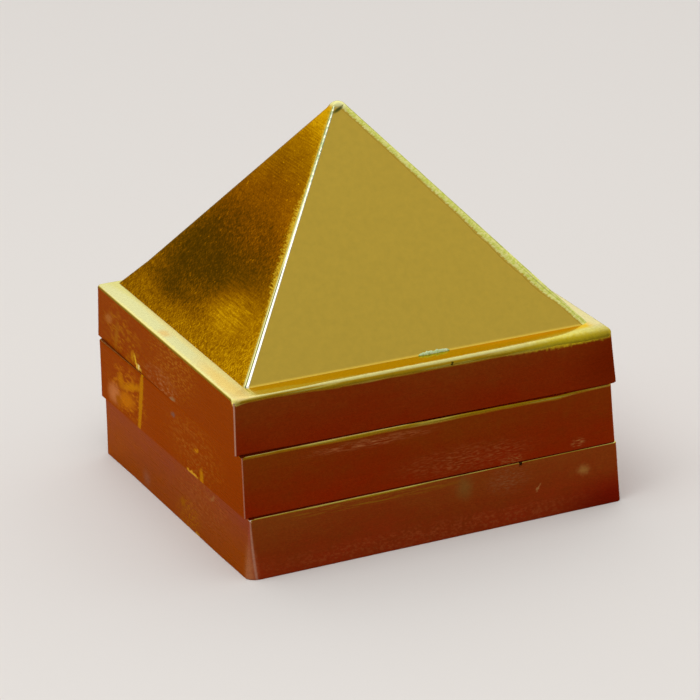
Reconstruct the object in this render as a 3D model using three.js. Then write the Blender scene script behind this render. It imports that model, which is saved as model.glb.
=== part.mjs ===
// A stacking vastu pyramid in gilded metal: a hollow pyramid on a square cap tray, over a middle tray that
// carries nine small pyramids and a base tray that carries eighty-one. The trays lie loosely on each other
// and lift off one by one. Millimetres, +Z up. The trays stand on z = 0, and the origin is the middle of
// the stack's footprint.
import * as THREE from "three";
import { mergeVertices, toCreasedNormals } from "three/addons/utils/BufferGeometryUtils.js";

// Trays: shallow boxes, open below, with a little draft on their walls
const TRAY_FOOT = 50; // side where the base and middle trays stand
const TRAY_TOP = 49.6; // side at their decks
const TRAY_RISE = 7.85;
const TRAY_EDGE = 0.5; // rounding of the deck's outer edge
const CAP_FOOT = 50.7;
const CAP_TOP = 50;
const CAP_RISE = 6.95;
const CAP_EDGE = 0.7; // the cap's deck edge is filed rounder
const CAP_OPENING = 39; // square opening in the cap's deck, under the hollow pyramid
const WALL = 1.3;
const DECK = 1.1;
const UPRIGHT_RADIUS = 0.3; // rounding of the upright corners
const LEAST_RADIUS = 0.1; // what is left of it where the deck's edge curves in

// The large pyramid: four sheet faces with rounded ridges, hollow and open below
const PYRAMID_FOOT = 45.7;
const PYRAMID_RISE = 27.3; // height at which its four faces would meet in a point
const PYRAMID_WALL = 1.1;
const RIDGE_RADIUS = 0.6;
const APEX_RADIUS = 1.3;
const FOOT_FLARE = 0.2; // how far the soldered foot spreads past the straight face
const FOOT_FLARE_RISE = 0.35;

// The pyramid plates: thin sheets with rows of small pyramids pressed up out of them
const PLATE_WALL = 0.3;
const PLATE_MARGIN = 0.8;
const FIELD = 41.4; // side of the square field of small pyramids
const VALLEY = 0.25; // flat left between neighbouring small pyramids

// The trays lie as loosely as their play allows, each seat measured from the centre of the base tray
const MIDDLE_SEAT = { x: -0.15, y: 0.5, turn: -0.35 };
const CAP_SEAT = { x: 0.35, y: 1.15, turn: -1.5 };
const PYRAMID_SEAT = { x: 0.55, y: 1.15 }; // measured from the centre of the cap

const CORNER_STEPS = 5;
const EDGE_STEPS = 4;
const APEX_STEPS = 4;
const CREASE = THREE.MathUtils.degToRad(28);

// One level of a square piece: a square of half width `half` with round corners, at height z, taken
// anticlockwise as seen from above
function squareRing(half, radius, z) {
  const ring = [];
  const reach = half - Math.min(radius, half);
  const quadrants = [[1, 1], [-1, 1], [-1, -1], [1, -1]];
  quadrants.forEach(([signX, signY], quadrant) => {
    for (let step = 0; step <= CORNER_STEPS; step += 1) {
      const angle = ((quadrant + step / CORNER_STEPS) * Math.PI) / 2;
      const x = signX * reach + (half - reach) * Math.cos(angle);
      const y = signY * reach + (half - reach) * Math.sin(angle);
      ring.push([x, y, z]);
    }
  });
  return ring;
}

function closedGeometry(positions, index) {
  const geometry = new THREE.BufferGeometry();
  geometry.setAttribute("position", new THREE.Float32BufferAttribute(positions, 3));
  geometry.setIndex(index);
  return toCreasedNormals(mergeVertices(geometry, 1e-5), CREASE);
}

// Skins a list of rings that runs along the piece's section with the solid on its left: down the inside,
// across the foot and up the outside. The first and last rings are closed with a flat, or joined to each
// other where the piece is a frame.
function skin(rings, isFrame) {
  const count = rings[0].length;
  const positions = rings.flat(2);
  const index = [];
  const bands = isFrame ? rings.length : rings.length - 1;
  for (let band = 0; band < bands; band += 1) {
    const from = band * count;
    const to = ((band + 1) % rings.length) * count;
    for (let k = 0; k < count; k += 1) {
      const next = (k + 1) % count;
      index.push(from + k, from + next, to + next, from + k, to + next, to + k);
    }
  }
  if (!isFrame) {
    const underside = positions.length / 3;
    const top = underside + 1;
    const topRing = (rings.length - 1) * count;
    positions.push(0, 0, rings[0][0][2], 0, 0, rings[rings.length - 1][0][2]);
    for (let k = 0; k < count; k += 1) {
      const next = (k + 1) % count;
      index.push(underside, next, k, top, topRing + k, topRing + next);
    }
  }
  return closedGeometry(positions, index);
}

// A tray's section, from the underside of its deck round to the top of its deck
function traySection(foot, top, rise, edge) {
  const rings = [
    squareRing(top / 2 - WALL, UPRIGHT_RADIUS / 2, rise - DECK),
    squareRing(foot / 2 - WALL, UPRIGHT_RADIUS / 2, 0),
    squareRing(foot / 2, UPRIGHT_RADIUS, 0),
  ];
  for (let step = 0; step <= EDGE_STEPS; step += 1) {
    const angle = ((step / EDGE_STEPS) * Math.PI) / 2;
    const inset = edge * (1 - Math.cos(angle));
    const z = rise - edge * (1 - Math.sin(angle));
    rings.push(squareRing(top / 2 - inset, Math.max(UPRIGHT_RADIUS - inset, LEAST_RADIUS), z));
  }
  return rings;
}

function closedTray() {
  return skin(traySection(TRAY_FOOT, TRAY_TOP, TRAY_RISE, TRAY_EDGE), false);
}

// The cap's deck is open below the pyramid, so that the two share one hollow
function openTray() {
  const section = traySection(CAP_FOOT, CAP_TOP, CAP_RISE, CAP_EDGE);
  section.push(squareRing(CAP_OPENING / 2, UPRIGHT_RADIUS, CAP_RISE));
  section.push(squareRing(CAP_OPENING / 2, UPRIGHT_RADIUS, CAP_RISE - DECK));
  return skin(section, true);
}

// The large pyramid's section, from the top of its hollow down, across the foot and up to the apex. Its
// faces run straight from the flared foot to a small dome that touches all four of them.
function pyramidShell() {
  const slope = Math.atan2(PYRAMID_RISE, PYRAMID_FOOT / 2);
  const halfAt = (z) => (PYRAMID_FOOT / 2) * (1 - z / PYRAMID_RISE);
  const levelWall = PYRAMID_WALL / Math.sin(slope);
  const hollowTopHalf = APEX_RADIUS;
  const hollowTop = PYRAMID_RISE * (1 - (levelWall + hollowTopHalf) / (PYRAMID_FOOT / 2));
  const rings = [
    squareRing(hollowTopHalf, RIDGE_RADIUS / 2, hollowTop),
    squareRing(PYRAMID_FOOT / 2 - levelWall, RIDGE_RADIUS / 2, 0),
  ];
  for (let step = 0; step <= EDGE_STEPS; step += 1) {
    const z = (FOOT_FLARE_RISE * step) / EDGE_STEPS;
    const flare = FOOT_FLARE * (1 - step / EDGE_STEPS) ** 2;
    rings.push(squareRing(halfAt(z) + flare, RIDGE_RADIUS, z));
  }
  const domeCentre = PYRAMID_RISE - APEX_RADIUS / Math.cos(slope);
  for (let step = 0; step < APEX_STEPS; step += 1) {
    const tilt = slope * (1 - step / APEX_STEPS);
    const half = APEX_RADIUS * Math.sin(tilt);
    rings.push(squareRing(half, RIDGE_RADIUS, domeCentre + APEX_RADIUS * Math.cos(tilt)));
  }
  rings.push(squareRing(APEX_RADIUS / 10, RIDGE_RADIUS, domeCentre + APEX_RADIUS));
  return skin(rings, false);
}

// A pyramid plate: one sheet of even thickness, pressed up into a square field of small pyramids with the
// large one's proportions, each hollow below, and left flat between them and round the margin
function pyramidPlate(perSide) {
  const pitch = FIELD / perSide;
  const rise = ((pitch - VALLEY) * PYRAMID_RISE) / PYRAMID_FOOT;
  const edge = FIELD / 2 + PLATE_MARGIN;
  const creases = [-edge];
  for (let k = 0; k < perSide; k += 1) {
    const start = k * pitch - FIELD / 2;
    creases.push(start + VALLEY / 2, start + pitch - VALLEY / 2);
  }
  creases.push(edge);
  const across = creases.length;
  const positions = [];
  const index = [];

  function addFace(lift, facesUp) {
    const first = positions.length / 3;
    creases.forEach((y) => creases.forEach((x) => positions.push(x, y, lift)));
    const triangle = (a, b, c) => (facesUp ? index.push(a, b, c) : index.push(a, c, b));
    for (let row = 0; row < across - 1; row += 1) {
      for (let column = 0; column < across - 1; column += 1) {
        const a = first + row * across + column;
        const [b, c, d] = [a + 1, a + across + 1, a + across];
        if (row % 2 === 0 || column % 2 === 0) {
          triangle(a, b, c);
          triangle(a, c, d);
          continue;
        }
        const tip = positions.length / 3;
        const x = (creases[column] + creases[column + 1]) / 2;
        const y = (creases[row] + creases[row + 1]) / 2;
        positions.push(x, y, lift + rise);
        [[a, b], [b, c], [c, d], [d, a]].forEach(([from, to]) => triangle(from, to, tip));
      }
    }
    return first;
  }

  const under = addFace(0, false);
  const over = addFace(PLATE_WALL, true);
  const last = across - 1;
  const rim = [];
  for (let k = 0; k < last; k += 1) rim.push(k);
  for (let k = 0; k < last; k += 1) rim.push(k * across + last);
  for (let k = last; k > 0; k -= 1) rim.push(last * across + k);
  for (let k = last; k > 0; k -= 1) rim.push(k * across);
  rim.forEach((here, k) => {
    const next = rim[(k + 1) % rim.length];
    index.push(under + here, under + next, over + next, under + here, over + next, over + here);
  });
  return closedGeometry(positions, index);
}

function piece(name, geometry, material, { x = 0, y = 0, z = 0 } = {}) {
  const mesh = new THREE.Mesh(geometry, material);
  mesh.name = name;
  mesh.position.set(x, y, z);
  return mesh;
}

function seated(seat, z) {
  const group = new THREE.Group();
  group.position.set(seat.x, seat.y, z);
  group.rotation.z = THREE.MathUtils.degToRad(seat.turn);
  return group;
}

const metal = (color, roughness) => new THREE.MeshStandardMaterial({ color, roughness, metalness: 1 });
const onDeck = { z: TRAY_RISE };

const base = seated({ x: 0, y: 0, turn: 0 }, 0);
base.add(piece("base_tray", closedTray(), metal(0x8f4a22, 0.32)));
base.add(piece("eighty_one_pyramid_plate", pyramidPlate(9), metal(0xc9853f, 0.3), onDeck));

const middle = seated(MIDDLE_SEAT, TRAY_RISE);
middle.add(piece("middle_tray", closedTray(), metal(0x84401a, 0.32)));
middle.add(piece("nine_pyramid_plate", pyramidPlate(3), metal(0xc9853f, 0.3), onDeck));

const cap = seated(CAP_SEAT, 2 * TRAY_RISE);
cap.add(piece("cap_tray", openTray(), metal(0x8a4418, 0.32)));
cap.add(piece("pyramid_shell", pyramidShell(), metal(0xb8962f, 0.3), { ...PYRAMID_SEAT, z: CAP_RISE }));

const stack = new THREE.Group();
stack.add(base, middle, cap);

// The origin is the middle of the footprint, measured on the finished stack
const middleOfFootprint = new THREE.Box3().setFromObject(stack, true).getCenter(new THREE.Vector3());
stack.position.set(-middleOfFootprint.x, -middleOfFootprint.y, 0);

export default stack;
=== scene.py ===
import math

import bpy
import numpy as np
from bpy.props import FloatProperty, FloatVectorProperty, IntProperty, PointerProperty
from mathutils import Matrix, Vector, noise


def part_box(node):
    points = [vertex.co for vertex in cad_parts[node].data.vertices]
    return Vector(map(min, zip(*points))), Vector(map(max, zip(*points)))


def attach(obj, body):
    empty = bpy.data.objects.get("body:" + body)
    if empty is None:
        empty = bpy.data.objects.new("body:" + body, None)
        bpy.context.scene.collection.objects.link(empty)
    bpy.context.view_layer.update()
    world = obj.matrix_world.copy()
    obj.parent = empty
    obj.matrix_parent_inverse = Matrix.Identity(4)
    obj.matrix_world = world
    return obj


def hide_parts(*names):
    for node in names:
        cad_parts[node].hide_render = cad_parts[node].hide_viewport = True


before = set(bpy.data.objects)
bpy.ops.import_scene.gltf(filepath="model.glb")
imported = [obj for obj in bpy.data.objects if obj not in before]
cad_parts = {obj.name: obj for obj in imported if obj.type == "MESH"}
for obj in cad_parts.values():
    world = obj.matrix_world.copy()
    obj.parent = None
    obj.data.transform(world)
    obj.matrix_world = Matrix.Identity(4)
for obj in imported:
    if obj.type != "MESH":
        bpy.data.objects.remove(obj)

bl_info = {
    "name": "Stacking vastu pyramid",
    "version": (1, 0, 0),
    "blender": (4, 5, 0),
    "location": "3D View > Sidebar > Vastu",
    "description": "Builds a gilded pyramid on three stacked square trays, with its pressed plates",
    "category": "Object",
}

# Places come from the frame, and these sizes from the real object.

MM = 0.001
TRAY_FOOT = 50 * MM
TRAY_TOP = 49.6 * MM
CAP_FOOT = 50.7 * MM
CAP_TOP = 50 * MM
WALL = 1.3 * MM
DECK = 1.1 * MM
CAP_OPENING = 39 * MM
FOOT_CHAMFER = 0.06 * MM
PYRAMID_FOOT = 45.7 * MM
PYRAMID_RISE = 27.3 * MM  # height at which the four faces would meet
PYRAMID_WALL = 1.1 * MM
FOOT_FILLET = 0.14 * MM
FOOT_FILLET_RISE = 0.18 * MM
GROOVE = 0.05 * MM  # depth of the groove beside the near ridge
LINE = 0.015 * MM  # depth of the dark lines along the filed ridge
DENT = 0.012 * MM  # depth of the waves of the trays' walls
LEAST_RADIUS = 0.05 * MM
PLATE_WALL = 0.3 * MM
PLATE_FIELD = 41.4 * MM
PLATE_MARGIN = 0.8 * MM
VALLEY = 0.25 * MM
TURNS = {"base": 0.0, "middle": -0.35, "cap": -1.5}  # degrees about Z, as loosely as the trays lie

CORNER_STEPS = 16
PYRAMID_SIDE_STEPS = 24
WALL_STEPS = 14
DOME_STEPS = 9
ROUNDEST = 0.98  # largest share of half a side that a corner's rounding takes
SUPPORT = 0.1 * MM  # distance from a corner of the first point on a side
THROUGH = 1000  # half size in millimetres of a patch or grain that runs right through a piece

# Corners count anticlockwise from +X +Y, and each side runs on from the corner of its number
SIGNS = ((1, 1), (-1, 1), (-1, -1), (1, -1))
BACK, LEFT, FRONT, RIGHT = range(4)
BACK_LEFT, NEAR_CORNER, RIGHT_CORNER = 1, 2, 3

# The pyramid's ridges: heights in millimetres and shares of the radius or the filed width there. The near
# one's heights are shares of the way up.
FILED_WIDTHS = ((0, 2, 4, 8, 12, 16, 23), (0.75, 0.75, 1.15, 1.2, 1.0, 0.9, 0.85))
NEAR_RADII = ((0, 0.5, 1), (0.75, 0.48, 0.34))
BACK_RADII = ((0, 1, 3.5), (0.5, 1.0, 2.1))

# Sections of the deck edges from the wall to the deck: how far in and how far down, in millimetres
EASED = [(1 - math.cos(a), 1 - math.sin(a)) for a in np.linspace(0, math.pi / 2, 9)]
CAP_FILED = [(0, 0.75), (0.06, 0.62), (0.16, 0.47), (0.3, 0.31), (0.46, 0.2), (0.7, 0.1), (0.95, 0.045),
             (1.3, 0.015), (1.7, 0)]
MIDDLE_FILED = [(0, 0.6), (0.05, 0.48), (0.12, 0.36), (0.22, 0.25), (0.34, 0.16), (0.48, 0.09), (0.66, 0.04),
                (0.86, 0.01), (1.1, 0)]
BASE_FILED = [(0.4 * x, 0.3 * z) for x, z in EASED]

# How deep the file went along each front edge: places along it in millimetres, and the depth's share there
CAP_DEPTHS = ((-25, 0.74), (-24, 0.4), (-20, 0.38), (-16, 0.55), (-12, 0.88), (-4, 0.92), (14, 1.02),
              (20, 1.1), (22, 1.25), (25, 1.15))
MIDDLE_DEPTHS = ((-25, 0.15), (-21, 0.2), (-16, 0.38), (-12, 0.6), (-4, 0.62), (0, 0.82), (8, 0.78),
                 (14, 0.9), (18, 1.15), (20, 0.7), (25, 0.45))
BASE_DEPTHS = ((-25, 0.5), (-14, 0.75), (-8, 1.1), (-3, 0.8), (2, 0.35), (25, 0.3))


def linear(code):
    """The linear RGBA of an sRGB hex colour."""
    channels = [int(code[i : i + 2], 16) / 255 for i in (1, 3, 5)]
    return (*(c / 12.92 if c <= 0.04045 else ((c + 0.055) / 1.055) ** 2.4 for c in channels), 1.0)


def add(tree, kind, inputs=None, stops=(), **settings):
    """Adds a node with its settings, links or sets its inputs, and places a colour ramp's stops. A node
    given as an input stands for its first output."""
    node = tree.nodes.new(kind)
    for name, value in settings.items():
        setattr(node, name, value)
    for key, value in (inputs or {}).items():
        value = value.outputs[0] if isinstance(value, bpy.types.Node) else value
        if isinstance(value, bpy.types.NodeSocket):
            tree.links.new(value, node.inputs[key])
        else:
            node.inputs[key].default_value = value
    for _ in stops[2:]:
        node.color_ramp.elements.new(0.5)
    for element, (place, colour) in zip(node.color_ramp.elements if stops else (), stops):
        element.position = place
        element.color = colour
    return node


class StackSizes(bpy.types.PropertyGroup):
    """Sizes that change the look of the edges."""

    upright_radius: FloatProperty(
        name="Upright corners", description="Rounding of the trays' upright corners",
        default=0.26 * MM, unit="LENGTH", subtype="DISTANCE")
    soft_radius: FloatProperty(
        name="Soft corners", description="Rounding of the three upright corners that are worn least sharp",
        default=0.7 * MM, unit="LENGTH", subtype="DISTANCE")
    ridge_radius: FloatProperty(
        name="Ridges", description="Rounding of the pyramid's ridges at its foot",
        default=0.62 * MM, unit="LENGTH", subtype="DISTANCE")
    filed_ridge_width: FloatProperty(
        name="Filed ridge", description="Width of the ridge that was filed flat",
        default=1.5 * MM, unit="LENGTH", subtype="DISTANCE")
    apex_radius: FloatProperty(
        name="Tip", description="Radius of the pyramid's rounded tip",
        default=1.3 * MM, unit="LENGTH", subtype="DISTANCE")
    levels: IntProperty(
        name="Levels", description="Rings of points up the pyramid", default=220, min=20)
    side_steps: IntProperty(
        name="Side steps", description="Points along each side of a tray", default=72, min=8)


class StackFinish(bpy.types.PropertyGroup):
    """Colours of the gilding."""

    satin_gold: FloatVectorProperty(
        name="Satin gold", description="Gilding of the front and back faces",
        default=linear("#f9d353")[:3], subtype="COLOR", size=3)
    pale_gold: FloatVectorProperty(
        name="Pale gold", description="Bright gilding of the ledges and filed edges",
        default=linear("#e9e092")[:3], subtype="COLOR", size=3)
    # Painted shade: the lips are painted this deeper gold where they turn down, away from the light
    shaded_lip_gold: FloatVectorProperty(
        name="Lip gold", description="Deeper gilding on the rounded lips of the edges",
        default=linear("#cba018")[:3], subtype="COLOR", size=3)
    bare_metal: FloatVectorProperty(
        name="Bare metal", description="Metal showing where the corners are worn",
        default=linear("#b4846f")[:3], subtype="COLOR", size=3)


class StudioSettings(bpy.types.PropertyGroup):
    """The floor, the lights and the camera."""

    floor_colour: FloatVectorProperty(
        name="Floor", description="Colour of the plain floor",
        default=linear("#e6e1dc")[:3], subtype="COLOR", size=3)
    lens: FloatProperty(
        name="Lens", description="Focal length of the camera in millimetres, on a 36 mm sensor",
        default=202.42)


def edge_loop(corners, radii, side_steps, bulges=(1, 1, 1, 1)):
    """A four-sided loop with rounded corners, anticlockwise from above. The sides' lines meet at the
    corners, and each rounding has a radius along X and one along Y, and a bulge from 0, a flat, to 1, an
    arc. Gives the points, outward normals, the share of the way round a corner or -1, the share of the
    way along a side or -1, and the corner's or side's number."""
    share = np.linspace(0, 1, CORNER_STEPS + 1)
    arcs = []
    for corner, (signs, middle, radius, bulge) in enumerate(zip(SIGNS, corners, radii, bulges)):
        angle = (corner + share) * math.pi / 2
        unit = np.stack([np.cos(angle), np.sin(angle)], 1)
        radius = np.broadcast_to(radius, 2)
        normal = unit / radius
        points = np.array(middle) - np.array(signs) * radius + unit * radius
        flat = points[0] + (points[-1] - points[0]) * share[:, None]
        points = flat + (points - flat) * bulge
        arcs.append((points, normal / np.linalg.norm(normal, axis=1)[:, None]))
    points, normals, shares, alongs, numbers = [], [], [], [], []
    for corner, (arc_points, arc_normals) in enumerate(arcs):
        start, end = arc_points[-1], arcs[(corner + 1) % 4][0][0]
        near = min(SUPPORT / max(np.linalg.norm(end - start), 1e-9), 1 / side_steps)
        along = np.concatenate([[near], np.linspace(near, 1 - near, side_steps)[1:-1], [1 - near]])
        points += [arc_points, start + (end - start) * along[:, None]]
        normals += [arc_normals, np.tile(arc_normals[-1], (len(along), 1))]
        shares += [share, np.full(len(along), -1.0)]
        alongs += [np.full(len(share), -1.0), along]
        numbers += [np.full(len(share) + len(along), corner)]
    return [np.concatenate(part) for part in (points, normals, shares, alongs, numbers)]


def square(half):
    """The corners of a level square."""
    return [(x * half, y * half) for x, y in SIGNS]


def level(points, z):
    """A ring in space from flat points and one height, or one height for each point."""
    return np.column_stack([points, np.broadcast_to(z, len(points))])


def wave(*place):
    """Smooth noise from -1 to 1."""
    return noise.noise(Vector(place))


def clamped(value):
    """The value, kept within 0 and 1."""
    return min(1.0, max(0.0, value))


def line_at(shares, place, width):
    """1 at one place on the way round a corner, and fading to both sides of it."""
    return np.exp(-(((shares - place) / width) ** 2))


def loft(name, rings, closes, marks=None, sharp=38):
    """A closed mesh through the rings, which run with the solid on their left: down the inside, across
    the foot and up the outside. It closes on itself, or with a flat at both ends. Creases above the
    sharp angle in degrees stay sharp."""
    count = len(rings[0])
    bands = len(rings) if closes else len(rings) - 1
    here = np.arange(count)
    after = (here + 1) % count
    quads = []
    for band in range(bands):
        low, high = band * count, ((band + 1) % len(rings)) * count
        quads.append(np.stack([low + here, low + after, high + after, high + here], 1))
    points = np.concatenate(rings)
    faces = np.concatenate(quads).tolist()
    if not closes:
        ends = np.array([rings[0].mean(0), rings[-1].mean(0)])
        first, last = len(points), len(points) + 1
        points = np.concatenate([points, ends])
        top = (len(rings) - 1) * count
        faces += [[first, int(b), int(a)] for a, b in zip(here, after)]
        faces += [[last, int(top + a), int(top + b)] for a, b in zip(here, after)]
    mesh = bpy.data.meshes.new(name)
    mesh.from_pydata(points.tolist(), [], faces)
    for mark, values in (marks or {}).items():
        layer = mesh.attributes.new(mark, "FLOAT", "POINT")
        spread = np.zeros(len(points), np.float32)
        spread[: len(values)] = values
        layer.data.foreach_set("value", spread)
    mesh.shade_smooth()
    mesh.set_sharp_from_angle(angle=math.radians(sharp))
    return mesh


def piece(name, mesh, body, replaced, material, turn=0.0, centre=(0, 0, 0)):
    """Puts a mesh in its place in the frame and ties it to its body."""
    place = Matrix.Translation(centre) @ Matrix.Rotation(math.radians(turn), 4, "Z")
    mesh.transform(place)
    mesh.materials.clear()
    mesh.materials.append(material)
    obj = bpy.data.objects.new(name, mesh)
    bpy.context.scene.collection.objects.link(obj)
    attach(obj, body)
    if replaced:
        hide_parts(replaced)
    return obj


def seat_of(node):
    """The middle of a node's footprint and its lowest height."""
    low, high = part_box(node)
    return Vector(((low.x + high.x) / 2, (low.y + high.y) / 2, low.z))


def filed_share(side, along, seed, depths):
    """How deep the file went along a side: uneven everywhere, and as measured along the front."""
    shares = []
    for t in along:
        fade = min(1.0, 12 * t, 12 * (1 - t))
        uneven = 0.14 * wave(t * 12, side * 3.1, seed) + 0.1 * wave(t * 55, side * 5.3, seed)
        depth = np.interp((t - 0.5) * 50, *zip(*depths)) if side == FRONT else 1.0
        shares.append(depth * (1 + fade * uneven))
    return np.array(shares)


def tray_mesh(name, rise, seed, sizes, foot, top, front_edge, depths, ease, splay, wear, opening):
    """A tray with draft on its walls. Its deck's edge is eased at three sides and filed at the front. Its
    left wall may be splayed at the foot, most by the near corner."""
    last_step = len(front_edge) - 1
    splay_start, splay_length = 15 * MM, 30 * MM
    near_growth, near_lip_growth = 2.2, 2.6  # how much rounder the near corner gets
    eased = [(ease * x, ease * z) for x, z in EASED]
    edges = [eased, eased, front_edge, eased]
    radius = sizes.upright_radius
    uprights = [sizes.soft_radius, sizes.soft_radius, radius, sizes.soft_radius]
    ends = [filed_share(side, (0, 1), seed, depths) for side in range(4)]

    def half_at(z):
        return foot / 2 - (foot - top) / 2 * z / rise

    def edge_ring(step):
        """One line along the deck's edge: its points, heights, and shares round the corners."""
        corners = []
        for corner, (x, y) in enumerate(SIGNS):
            cuts = []
            for side in (RIGHT if x > 0 else LEFT, BACK if y > 0 else FRONT):
                cuts.append(edges[side][step][0] * MM * ends[side][0 if side == corner else 1])
            half = half_at(rise - edges[FRONT][step][1] * MM)
            corners.append((x * (half - cuts[0]), y * (half - cuts[1])))
        left = [max(upright - eased[step][0] * MM, LEAST_RADIUS) for upright in uprights]
        left[NEAR_CORNER] = radius * (1 + near_lip_growth * step / last_step)
        points, normals, shares, alongs, numbers = edge_loop(corners, left, sizes.side_steps)
        heights = np.empty(len(points))
        for side in range(4):
            inward, down = (value * MM for value in edges[side][step])
            straight = (numbers == side) & (shares < 0)
            along = alongs[straight]
            filed = filed_share(side, along, seed, depths)
            plain = ends[side][0] + (ends[side][1] - ends[side][0]) * along
            points[straight] -= normals[straight] * (inward * (filed - plain))[:, None]
            heights[straight] = rise - down * filed
            arc = (numbers == side) & (shares >= 0)
            before = edges[side - 1][step][1] * MM * ends[side - 1][1]
            heights[arc] = rise - (before + (down * ends[side][0] - before) * shares[arc])
        return points, heights, shares

    rings, worn = [], []

    def put(ring, wear=0.0):
        rings.append(ring)
        worn.append(np.broadcast_to(wear, len(ring)))

    def plain_loop(half, radii):
        return edge_loop(square(half), radii, sizes.side_steps)

    def wall_loop(half, z):
        low = 1 - z / rise
        near = [*uprights[:NEAR_CORNER], radius + near_growth * splay * low, uprights[RIGHT_CORNER]]
        points, normals, shares, _, numbers = plain_loop(half, near)
        on_left = np.where(shares < 0, numbers == LEFT, (numbers == NEAR_CORNER) * (1 - shares))
        nearness = np.clip((splay_start - points[:, 1]) / splay_length, 0, 1)
        points[:, 0] -= splay * low * on_left * nearness
        return points, normals

    inner = [radius] * 4
    put(level(plain_loop(top / 2 - WALL, inner)[0], rise - DECK))
    put(level(plain_loop(foot / 2 - WALL, inner)[0], FOOT_CHAMFER))
    put(level(plain_loop(foot / 2 - WALL + FOOT_CHAMFER, inner)[0], 0))
    put(level(wall_loop(foot / 2 - FOOT_CHAMFER, 0)[0], 0))
    _, wall_top, shares = edge_ring(0)
    count = len(shares) // 4
    at_near = (np.arange(len(shares)) // count == NEAR_CORNER) & (shares >= 0)

    def wear_at(z):
        """The worn line up the near corner, as wide wherever the corner is rounder."""
        low = (1 - z / rise) * min(1.0, splay / (0.1 * MM))
        line = line_at(shares, 0.5 + 0.24 * low, 0.34 - 0.23 * low ** 0.5)
        return np.where(at_near, wear * line, 0)

    for step in range(WALL_STEPS):
        share = step / WALL_STEPS
        z = FOOT_CHAMFER + (wall_top - FOOT_CHAMFER) * share
        points, normals = wall_loop(half_at(z.mean()), z.mean())
        bumps = [1 + wave(x / (6 * MM), y / (6 * MM), share + seed) for x, y in points]
        dent = DENT * np.array(bumps) * math.sin(share * math.pi)
        put(level(points - normals * dent[:, None], z), wear_at(z.mean()))
    for step in range(len(front_edge)):
        points, heights, _ = edge_ring(step)
        put(level(points, heights), wear_at(rise) * max(0.0, 1 - 3 * step / last_step))
    if opening:
        hole = plain_loop(opening / 2, inner)[0]
        put(level(hole, rise))
        put(level(hole, rise - DECK))
    return loft(name, rings, bool(opening), {"worn": np.concatenate(worn)})


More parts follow.
